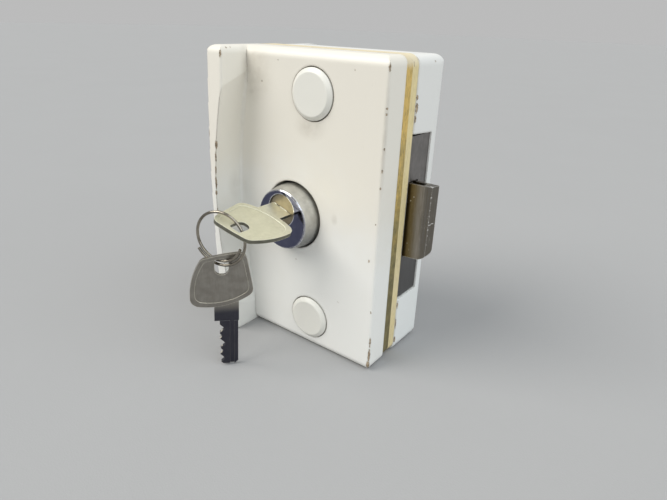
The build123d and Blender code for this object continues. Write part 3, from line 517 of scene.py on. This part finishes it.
def liner(slot, clean, aged_and_shaded, soiled, low_darkening):
    """A cut plastic sheet with soiled edges; low_darkening is how much darker it grows low down.
    """
    tree = surface(slot)
    where = place_mm(tree)
    height_mm = along(tree, where, "Z")
    # darker towards the bottom
    low = maths(tree, "MULTIPLY", fade(tree, height_mm, start=45.0, end=-45.0), low_darkening)
    blotch = cloud(tree, where, scale=0.28, detail=6.0, rough=0.7)
    age = cloud(tree, where, scale=0.12, detail=5.0, rough=0.65)
    age = maths(tree, "ADD", age, low)
    colour = tint(tree, fade(tree, age, start=0.4, end=0.9), clean, aged_and_shaded)
    dirt_and_low_darkening = fade(tree, maths(tree, "ADD", blotch, low), start=0.62, end=1.1)
    colour = tint(tree, dirt_and_low_darkening, colour, soiled)
    cut = effect(tree, "grain", {"Stretch": (0.9, 2.2, 0.35)})
    streaks = fade(tree, cut, start=0.46, end=0.66)
    colour = cover(tree, colour, streaks, most=0.2 + 0.8 * low_darkening, over=soiled)
    wavy_mm = maths(tree, "ADD", height_mm, maths(tree, "MULTIPLY", blotch, 4.0))
    top = fade(tree, wavy_mm, start=57.5, end=60.5)
    colour = cover(tree, colour, top, most=0.85, over=bleached)
    specks = effect(tree, "specks", {"Spacing": 2.2, "Size": 0.25, "Share": 0.35})
    cracks = all_spots(tree, "chip", liner_cracks, Ragged=0.1)
    faint = maths(tree, "MULTIPLY", specks, 0.6)
    marks = maths(tree, "MAXIMUM", cracks, faint)
    colour = tint(tree, marks, colour, crack_brown)
    # the seam against the metal: painted shade with some dirt
    seam_darkening = effect(tree, "corner shade and dirt", {"Reach": 1.5, "Share": 0.9})
    colour = cover(tree, colour, seam_darkening, most=0.55, over=seam_shade_and_dirt)
    roughness = between(tree, blotch, low=0.45, high=0.80)
    shade(tree, colour, roughness, maths(tree, "ADD", cut, blotch), depth_mm=0.18, edge_mm=0.35)
    print("liner:", slot)


liner(
    "front_liner",
    # the front liner's darker tones are partly painted shade of its recess
    clean=(0.66, 0.45, 0.13, 1),
    aged_and_shaded=(0.31, 0.25, 0.10, 1),
    soiled=(0.13, 0.11, 0.045, 1),
    low_darkening=0.5,
)
liner(
    "rear_liner",
    clean=(0.74, 0.62, 0.33, 1),
    aged_and_shaded=(0.70, 0.60, 0.37, 1),
    soiled=(0.34, 0.27, 0.13, 1),
    low_darkening=0.1,
)

# %% [markdown]
# ## Metals
# The lock has thirteen metals. They differ in colour, polish and history, but not in kind, so
# they needn't be thirteen node trees written out. One function makes them all: a bright and a
# dull tone mixed by a cloud, a grain along the way the metal was rolled or ground, bright edges
# that are partly rubbed and partly painted highlight, thin scratches, and painted shade with dirt
# in the corners that takes the shine away.

# %% A zone along one axis
def zone(tree, where, blotch, axis, start, full):
    """Goes from 0 to 1 between two places in mm along one axis, with a wavy border."""
    wobble_mm = between(tree, blotch, low=-1.0, high=1.0)
    return fade(tree, maths(tree, "ADD", along(tree, where, axis), wobble_mm), start, full)


print("helper:", zone.__name__)

# %% Metal
# the colour of painted shade and some dirt in the corners
metal_shade_and_grime = (0.05, 0.04, 0.03, 1)
grain_shade = 0.72  # how dark the grain is, as a share of the dull tone
grain_height = 0.35
grain_rough = 0.35
scratch_depth = 0.5
scratch_shine = 0.6
dirt_rough = 0.3  # how much rougher full dirt is, and how much less metallic
dirt_dull = 0.6


def metal(
    slot,
    bright,
    dull,
    rough,
    stretch,
    shade_and_dirt_share=0.5,
    edge_share=0.45,
    edge_reach=0.35,
    scratch_share=0.4,
    streaks=0.5,
    relief=0.05,
    tones=(),
    shades=(),
    flat=None,
    wall_shade=None,
    spots=(),
    wear_and_highlight_colour=None,
):
    """Bare or plated metal; stretch gives the grain's features per millimetre along X, Y and Z.

    A tone is an axis, where it starts and is full in mm, and its colour; a shade is the same but
    lies over the wear too. Flat is the direction that the broad faces look in, and faces that
    look elsewhere take the wall shade, a painted shade. Rubbed edges, scratches and spots take a
    colour that is partly bright wear and partly painted highlight.
    The reach of the rubbed edges and the relief are in mm.
    """
    tree = surface(slot)
    where = place_mm(tree)
    blotch = cloud(tree, where, scale=0.25, detail=5.0, rough=0.6)
    colour = tint(tree, fade(tree, blotch, start=0.3, end=0.7), bright, dull)
    for axis, start, full, tone in tones:
        colour = tint(tree, zone(tree, where, blotch, axis, start, full), colour, tone)
    # faces that don't look the flat way get a painted shade
    if flat:
        normal = put(tree, "ShaderNodeTexCoord").outputs["Normal"]
        facing = maths(tree, "ABSOLUTE", vectors(tree, "DOT_PRODUCT", normal, flat))
        colour = tint(tree, fade(tree, facing, start=0.8, end=0.4), colour, wall_shade)
    grain = effect(tree, "grain", {"Stretch": stretch})
    darker = [grain_shade * value for value in dull[:3]] + [1]
    colour = cover(tree, colour, grain, most=streaks, over=darker)
    # painted shade with some dirt in the corners; the dirt also makes them rougher and less
    # metallic
    shade_and_dirt = effect(tree, "corner shade and dirt", {"Reach": 1.6, "Share": shade_and_dirt_share})
    colour = cover(tree, colour, shade_and_dirt, most=0.75, over=metal_shade_and_grime)
    feeds = {"Reach": edge_reach, "Share": edge_share, "Grain": 1.1}
    rubbed = effect(tree, "edge wear and highlight", feeds)
    feeds = {"Stretch": (1.1, 1.1, 0.5), "Width": 0.010, "Share": scratch_share}
    lines = effect(tree, "scratches", feeds)
    # rubbed edges, scratches and spots get a bright colour that is partly wear and partly painted
    # highlight
    wear_and_highlight_colour = wear_and_highlight_colour or [min(1.0, 1.5 * value + 0.12) for value in bright[:3]] + [1]
    wear_and_highlight = maths(tree, "MAXIMUM", rubbed, maths(tree, "MULTIPLY", lines, scratch_shine))
    colour = tint(tree, wear_and_highlight, colour, wear_and_highlight_colour)
    for axis, start, full, tone in shades:
        band = zone(tree, where, blotch, axis, start, full)
        colour = cover(tree, colour, band, most=0.85, over=tone)
    if spots:
        colour = tint(tree, all_spots(tree, "chip", spots, Ragged=0.1), colour, wear_and_highlight_colour)
    uneven = maths(tree, "MULTIPLY", maths(tree, "SUBTRACT", grain, halfway), grain_rough)
    roughness = maths(tree, "ADD", rough, uneven)
    roughness = maths(tree, "ADD", roughness, maths(tree, "MULTIPLY", shade_and_dirt, dirt_rough))
    ridges = maths(tree, "MULTIPLY", grain, grain_height)
    height = maths(tree, "SUBTRACT", ridges, maths(tree, "MULTIPLY", lines, scratch_depth))
    metallic = maths(tree, "SUBTRACT", 1.0, maths(tree, "MULTIPLY", shade_and_dirt, dirt_dull))
    shade(tree, colour, roughness, height, relief, metallic)
    print("metal:", slot)


# %% [markdown]
# ## Cylinder
# The cylinder's nose is a zinc casting with pale oxide blotches, and its lower part gets a painted
# shade. Its face ring is chromed, so it shows little but the room. A mirror could be left to the
# light alone, but a plain studio gives it nothing to show, so its base is a dark blue grey, a
# painted reflection of dark blue surroundings, and a painted highlight runs along the rim where
# the chrome turns the corner. The plug is brass under a worn plating, and its pins are bare brass.

# %% Cylinder metals
metal(
    "cylinder_metal",
    bright=(0.68, 0.67, 0.63, 1),
    dull=(0.52, 0.51, 0.47, 1),
    rough=0.42,
    stretch=(0.6, 0.6, 0.6),
    edge_share=0.35,
    # painted shade: the nose is darker below, where less light reaches
    tones=[("Z", 0.0, -12.0, (0.30, 0.31, 0.32, 1))],
)
metal(
    "face_chrome",
    # the dark blue grey base is a painted reflection of dark blue surroundings, and the near white
    # edge colour a painted highlight on the rim
    bright=(0.13, 0.135, 0.20, 1),
    dull=(0.10, 0.105, 0.17, 1),
    rough=0.07,
    stretch=(0.25, 0.25, 0.25),
    shade_and_dirt_share=0.35,
    edge_share=1.3,
    edge_reach=0.75,
    relief=0.004,
    wear_and_highlight_colour=(0.98, 0.98, 1.0, 1),
)
metal(
    "plug_brass",
    bright=(0.40, 0.345, 0.25, 1),
    dull=(0.32, 0.275, 0.19, 1),
    rough=0.45,
    stretch=(1.2, 1.2, 1.2),
    shade_and_dirt_share=0.6,
    edge_share=0.4,
    relief=0.02,
)
metal(
    "pin_brass",
    bright=(0.72, 0.56, 0.28, 1),
    dull=(0.55, 0.41, 0.18, 1),
    rough=0.3,
    stretch=(0.3, 4.0, 4.0),
)

# %% [markdown]
# ## Keys and ring
# Both keys are nickel plated. The one in the lock is clean, with a faint green yellow cast; the
# walls of its sheet get a painted shade darker than its broad faces, and the rims of its bow a
# painted highlight. The one that hangs is older and darker, a painted dark blue reflection makes
# its blade nearly black, and its cuts are bright where they were filed. The shaded walls could be
# separate faces with their own material, but the direction that a face looks in tells them apart
# without touching the mesh.

# %% The key in the lock
key_tilt = math.radians(18.0)
metal(
    "key_nickel",
    bright=(0.83, 0.815, 0.65, 1),
    dull=(0.76, 0.745, 0.58, 1),
    rough=0.55,
    stretch=(0.5, 0.5, 1.6),
    edge_share=0.55,
    scratch_share=0.3,
    relief=0.02,
    # the walls get a painted shade, and the bright edge colour is a painted highlight on the rims
    # of the bow
    flat=(math.sin(key_tilt), 0.0, math.cos(key_tilt)),
    wall_shade=(0.09, 0.09, 0.075, 1),
    wear_and_highlight_colour=(0.98, 0.97, 0.85, 1),
)

# %% The hanging key and the ring
cut_faces = [
    ((-17.4, -48.5, -43.2), (0.8, 0.8, 0.6)),
    ((-17.6, -48.9, -46.3), (0.7, 0.7, 0.5)),
    ((-17.8, -48.4, -50.5), (0.6, 0.6, 0.35)),
    ((-18.0, -48.7, -53.5), (0.8, 0.8, 0.55)),
]
# painted reflection of dark blue surroundings, which makes the blade nearly black
blade_dark_reflection = ("Z", -30.5, -35.5, (0.022, 0.025, 0.048, 1))
metal(
    "key_worn",
    bright=(0.37, 0.35, 0.31, 1),
    dull=(0.28, 0.26, 0.23, 1),
    rough=0.38,
    stretch=(2.2, 2.2, 0.12),
    shade_and_dirt_share=0.6,
    edge_share=0.8,
    scratch_share=0.45,
    relief=0.02,
    shades=[blade_dark_reflection],
    spots=cut_faces,
    # bright edges are partly painted highlight; the cut faces were filed bright
    wear_and_highlight_colour=(0.80, 0.76, 0.64, 1),
)
metal(
    "ring_steel",
    bright=(0.42, 0.385, 0.32, 1),
    dull=(0.20, 0.18, 0.15, 1),
    rough=0.18,
    stretch=(0.8, 0.8, 0.8),
    shade_and_dirt_share=0.4,
    edge_share=0.2,
    relief=0.01,
)

# %% [markdown]
# ## Bolt
# The bolt has been pushed and dragged for years. It is brown grey; near the lock its brown is
# partly a painted reflection of the amber liner, darkest where it leaves the lock, further out a
# pale band is a painted highlight, and the tip is grey. It is streaked along its height, and its
# edges are bright with scratches and painted highlight. A single noise would mix these zones, so
# each is a tone that starts and ends at its own place.

# %% Bolt
bolt_marks = [
    ((31.7, 5.7, 8.4), (0.24, 0.4, 0.22)),
    ((32.9, 5.8, 10.1), (0.22, 0.4, 0.2)),
    ((31.9, 5.8, -9.1), (0.15, 0.4, 0.15)),
    ((39.4, 7.1, 10.9), (0.32, 0.5, 0.25)),
    ((39.4, 7.1, 8.8), (0.08, 0.3, 0.25)),
    ((39.4, 7.1, 5.9), (0.09, 0.3, 0.3)),
    ((39.4, 7.1, 3.6), (0.12, 0.3, 0.25)),
    ((39.4, 7.1, 1.2), (0.12, 0.3, 0.35)),
    ((39.6, 7.8, -0.13), (0.4, 1.1, 0.17)),
    ((39.95, 9.1, 0.2), (0.4, 1.1, 0.17)),
    ((39.4, 7.2, -2.0), (0.2, 0.4, 0.3)),
    ((39.5, 7.2, -4.4), (0.08, 0.3, 0.4)),
    ((39.5, 7.2, -8.2), (0.08, 0.3, 0.4)),
    ((39.0, 7.4, 15.0), (0.9, 0.5, 0.5)),
]
# a pale band that is a painted highlight on the curved front, the grey tip, and a painted
# reflection of the amber liner, darkest at the root
pale_highlight = ("X", 32.4, 35.8, (0.44, 0.41, 0.37, 1))
greyed_tip = ("X", 36.0, 37.8, (0.23, 0.225, 0.22, 1))
root_liner_reflection = ("X", 32.6, 30.8, (0.09, 0.06, 0.02, 1))
metal(
    "bolt_steel",
    bright=(0.28, 0.228, 0.14, 1),
    dull=(0.21, 0.165, 0.09, 1),
    rough=0.38,
    stretch=(2.6, 2.6, 0.12),
    shade_and_dirt_share=0.6,
    edge_share=0.54,
    edge_reach=0.5,
    scratch_share=0.5,
    streaks=0.9,
    relief=0.03,
    tones=[pale_highlight, greyed_tip, root_liner_reflection],
    spots=bolt_marks,
    # bright edges: partly scratches, partly painted highlight
    wear_and_highlight_colour=(0.86, 0.85, 0.82, 1),
)

# %% [markdown]
# ## Face, box and small parts
# The sheet that the bolt comes through is a satin grey, darker towards the bottom. The box, the
# screws, the springs and the cam are seen only when a cap or the key is pulled. They could stay
# plain, but the lock may be taken apart, so they get the same metal with values of their own.

# %% Face
metal(
    "face_steel",
    bright=(0.305, 0.288, 0.278, 1),
    dull=(0.23, 0.218, 0.21, 1),
    rough=0.4,
    stretch=(2.0, 2.0, 0.08),
    shade_and_dirt_share=0.7,
    edge_share=0.3,
    scratch_share=0.3,
    relief=0.015,
    # darker towards the bottom
    tones=[("Z", 8.0, -25.0, (0.155, 0.155, 0.155, 1))],
)

# %% Hidden metals
for slot, bright, dull, rough, stretch, shade_and_dirt_share in [
    ("box_steel", (0.55, 0.56, 0.56, 1), (0.42, 0.42, 0.40, 1), 0.35, (0.4, 2.0, 2.0), 0.5),
    ("screw_steel", (0.60, 0.60, 0.58, 1), (0.45, 0.44, 0.42, 1), 0.3, (2.0, 0.3, 2.0), 0.6),
    ("spring_steel", (0.45, 0.45, 0.46, 1), (0.33, 0.33, 0.34, 1), 0.3, (2.0, 2.0, 0.3), 0.4),
    ("cam_steel", (0.48, 0.46, 0.42, 1), (0.36, 0.34, 0.30, 1), 0.35, (0.3, 2.0, 2.0), 0.6),
]:
    metal(slot, bright, dull, rough, stretch, shade_and_dirt_share)

# %% [markdown]
# ## Sleeves
# Each clamping screw runs in an ivory plastic sleeve through the glass. The plastic of the caps
# could serve, but that is whiter, scratched and dirty at its foot. A sleeve is closed in and
# clean, so a cloudy ivory with a fine skin is all that it needs.

# %% Sleeve plastic
ivory = (0.82, 0.80, 0.74, 1)
old_ivory = (0.70, 0.66, 0.55, 1)

tree = surface("sleeve_plastic")
where = place_mm(tree)
colour = tint(tree, cloud(tree, where, scale=0.3, detail=4.0), ivory, old_ivory)
roughness = between(tree, cloud(tree, where, scale=1.0), low=0.4, high=0.6)
shade(tree, colour, roughness, cloud(tree, where, scale=2.0), depth_mm=0.03)
print("materials:", len(made))

# %% [markdown]
# ## Giving each node its finish
# The solids keep their shape, so each only swaps the plain material it came with for a finished
# one. That could be a line for each of the 28 nodes. The record names the material slot of every
# node, so one loop does them all.

# %% Assign
slot_of = {row["node"]: row["material_slot"] for row in frame["record"]["subparts"]}
for name, node in frame["nodes"].items():
    node.data.materials.clear()
    node.data.materials.append(made[slot_of[name]])
print("dressed nodes:", len(slot_of))

# %% [markdown]
# ## Floor
# The lock stands on its foot on a plain pale floor. A curved backdrop would show its bend in some
# views. A floor so wide that its end is far away gives every view of the lock the same ground,
# and it has a faint tooth so that its light isn't dead flat.

# %% Floor
floor_reach = 6.0
foot_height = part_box("front_plate")[0][2]
grid = bmesh.new()
bmesh.ops.create_grid(grid, x_segments=8, y_segments=8, size=floor_reach)
floor_mesh = bpy.data.meshes.new("floor")
grid.to_mesh(floor_mesh)
grid.free()
floor = bpy.data.objects.new("floor", floor_mesh)
floor.location = (0, 0, foot_height)
bpy.context.scene.collection.objects.link(floor)
print("floor at", round(foot_height / MM, 1), "mm")

# %% Floor paper
tree = surface("pale_floor")
where = place_mm(tree)
pale, paler = (0.340, 0.340, 0.340, 1), (0.352, 0.352, 0.352, 1)
matt = 0.85
colour = tint(tree, cloud(tree, where, scale=0.01), paler, pale)
tooth = cloud(tree, where, scale=1.5, detail=4.0)
shade(tree, colour, matt, tooth, depth_mm=0.05, specular=0.15)
floor.data.materials.append(made["pale_floor"])
print("floor paper:", made["pale_floor"].name)

# %% [markdown]
# ## Light
# The lock is seen in soft daylight: most of it falls from the upper left, in front of the lock,
# and a weaker cool part from the right. Area lamps near the object would do the same but leave
# the far floor dark. A sun with a wide angle is as soft, and it lights the floor alike
# everywhere, so the floor meets the world with no more than a faint line.

# %% Lamps
def daylight(name, towards, strength, width, colour):
    """A soft sun whose light comes from the given direction; width is its size in degrees."""
    data = bpy.data.lights.new(name, "SUN")
    data.energy = strength
    data.angle = math.radians(width)
    data.color = colour
    source = bpy.data.objects.new(name, data)
    bpy.context.scene.collection.objects.link(source)
    source.rotation_mode = "QUATERNION"
    source.rotation_quaternion = Vector(towards).to_track_quat("Z", "Y")
    print("sun:", name, "strength", strength)


daylight("window", (-0.45, -0.55, 0.70), 2.3, 42.0, (1.0, 0.98, 0.94))
daylight("sky", (0.68, -0.10, 0.73), 1.9, 80.0, (0.88, 0.95, 1.0))

# %% World
room_light = 0.5
world = bpy.data.worlds.new("room")
world.use_nodes = True
world.node_tree.nodes["Background"].inputs["Color"].default_value = (1.0, 1.0, 1.0, 1)
world.node_tree.nodes["Background"].inputs["Strength"].default_value = room_light
bpy.context.scene.world = world
bpy.context.scene.view_settings.view_transform = "Standard"
print("world:", world.name, "strength", room_light)

# %% [markdown]
# ## Camera
# The camera stands where the photographer stood: to the right of the lock, a little above it,
# and close, so that the near flange looks larger than the bolt's side. It could be aimed by eye
# with a constraint. Its place and its three turns are known from a fit of the lock's corners, so
# they are simply set.

# %% Camera
azimuth = math.radians(36.518)
height_angle = math.radians(24.289)
roll = math.radians(1.986)
camera_place = (0.118586, -0.159669, 0.070096)
camera_data = bpy.data.cameras.new("camera")
camera_data.sensor_width = 36.0
camera_data.lens = 27.56
camera_data.clip_start = 0.01
camera = bpy.data.objects.new("camera", camera_data)
bpy.context.scene.collection.objects.link(camera)
turned = Matrix.Rotation(azimuth, 4, "Z") @ Matrix.Rotation(math.pi / 2 - height_angle, 4, "X")
camera.matrix_world = Matrix.Translation(camera_place) @ turned @ Matrix.Rotation(roll, 4, "Z")
bpy.context.scene.camera = camera
print("lens in mm:", round(camera_data.lens, 2))
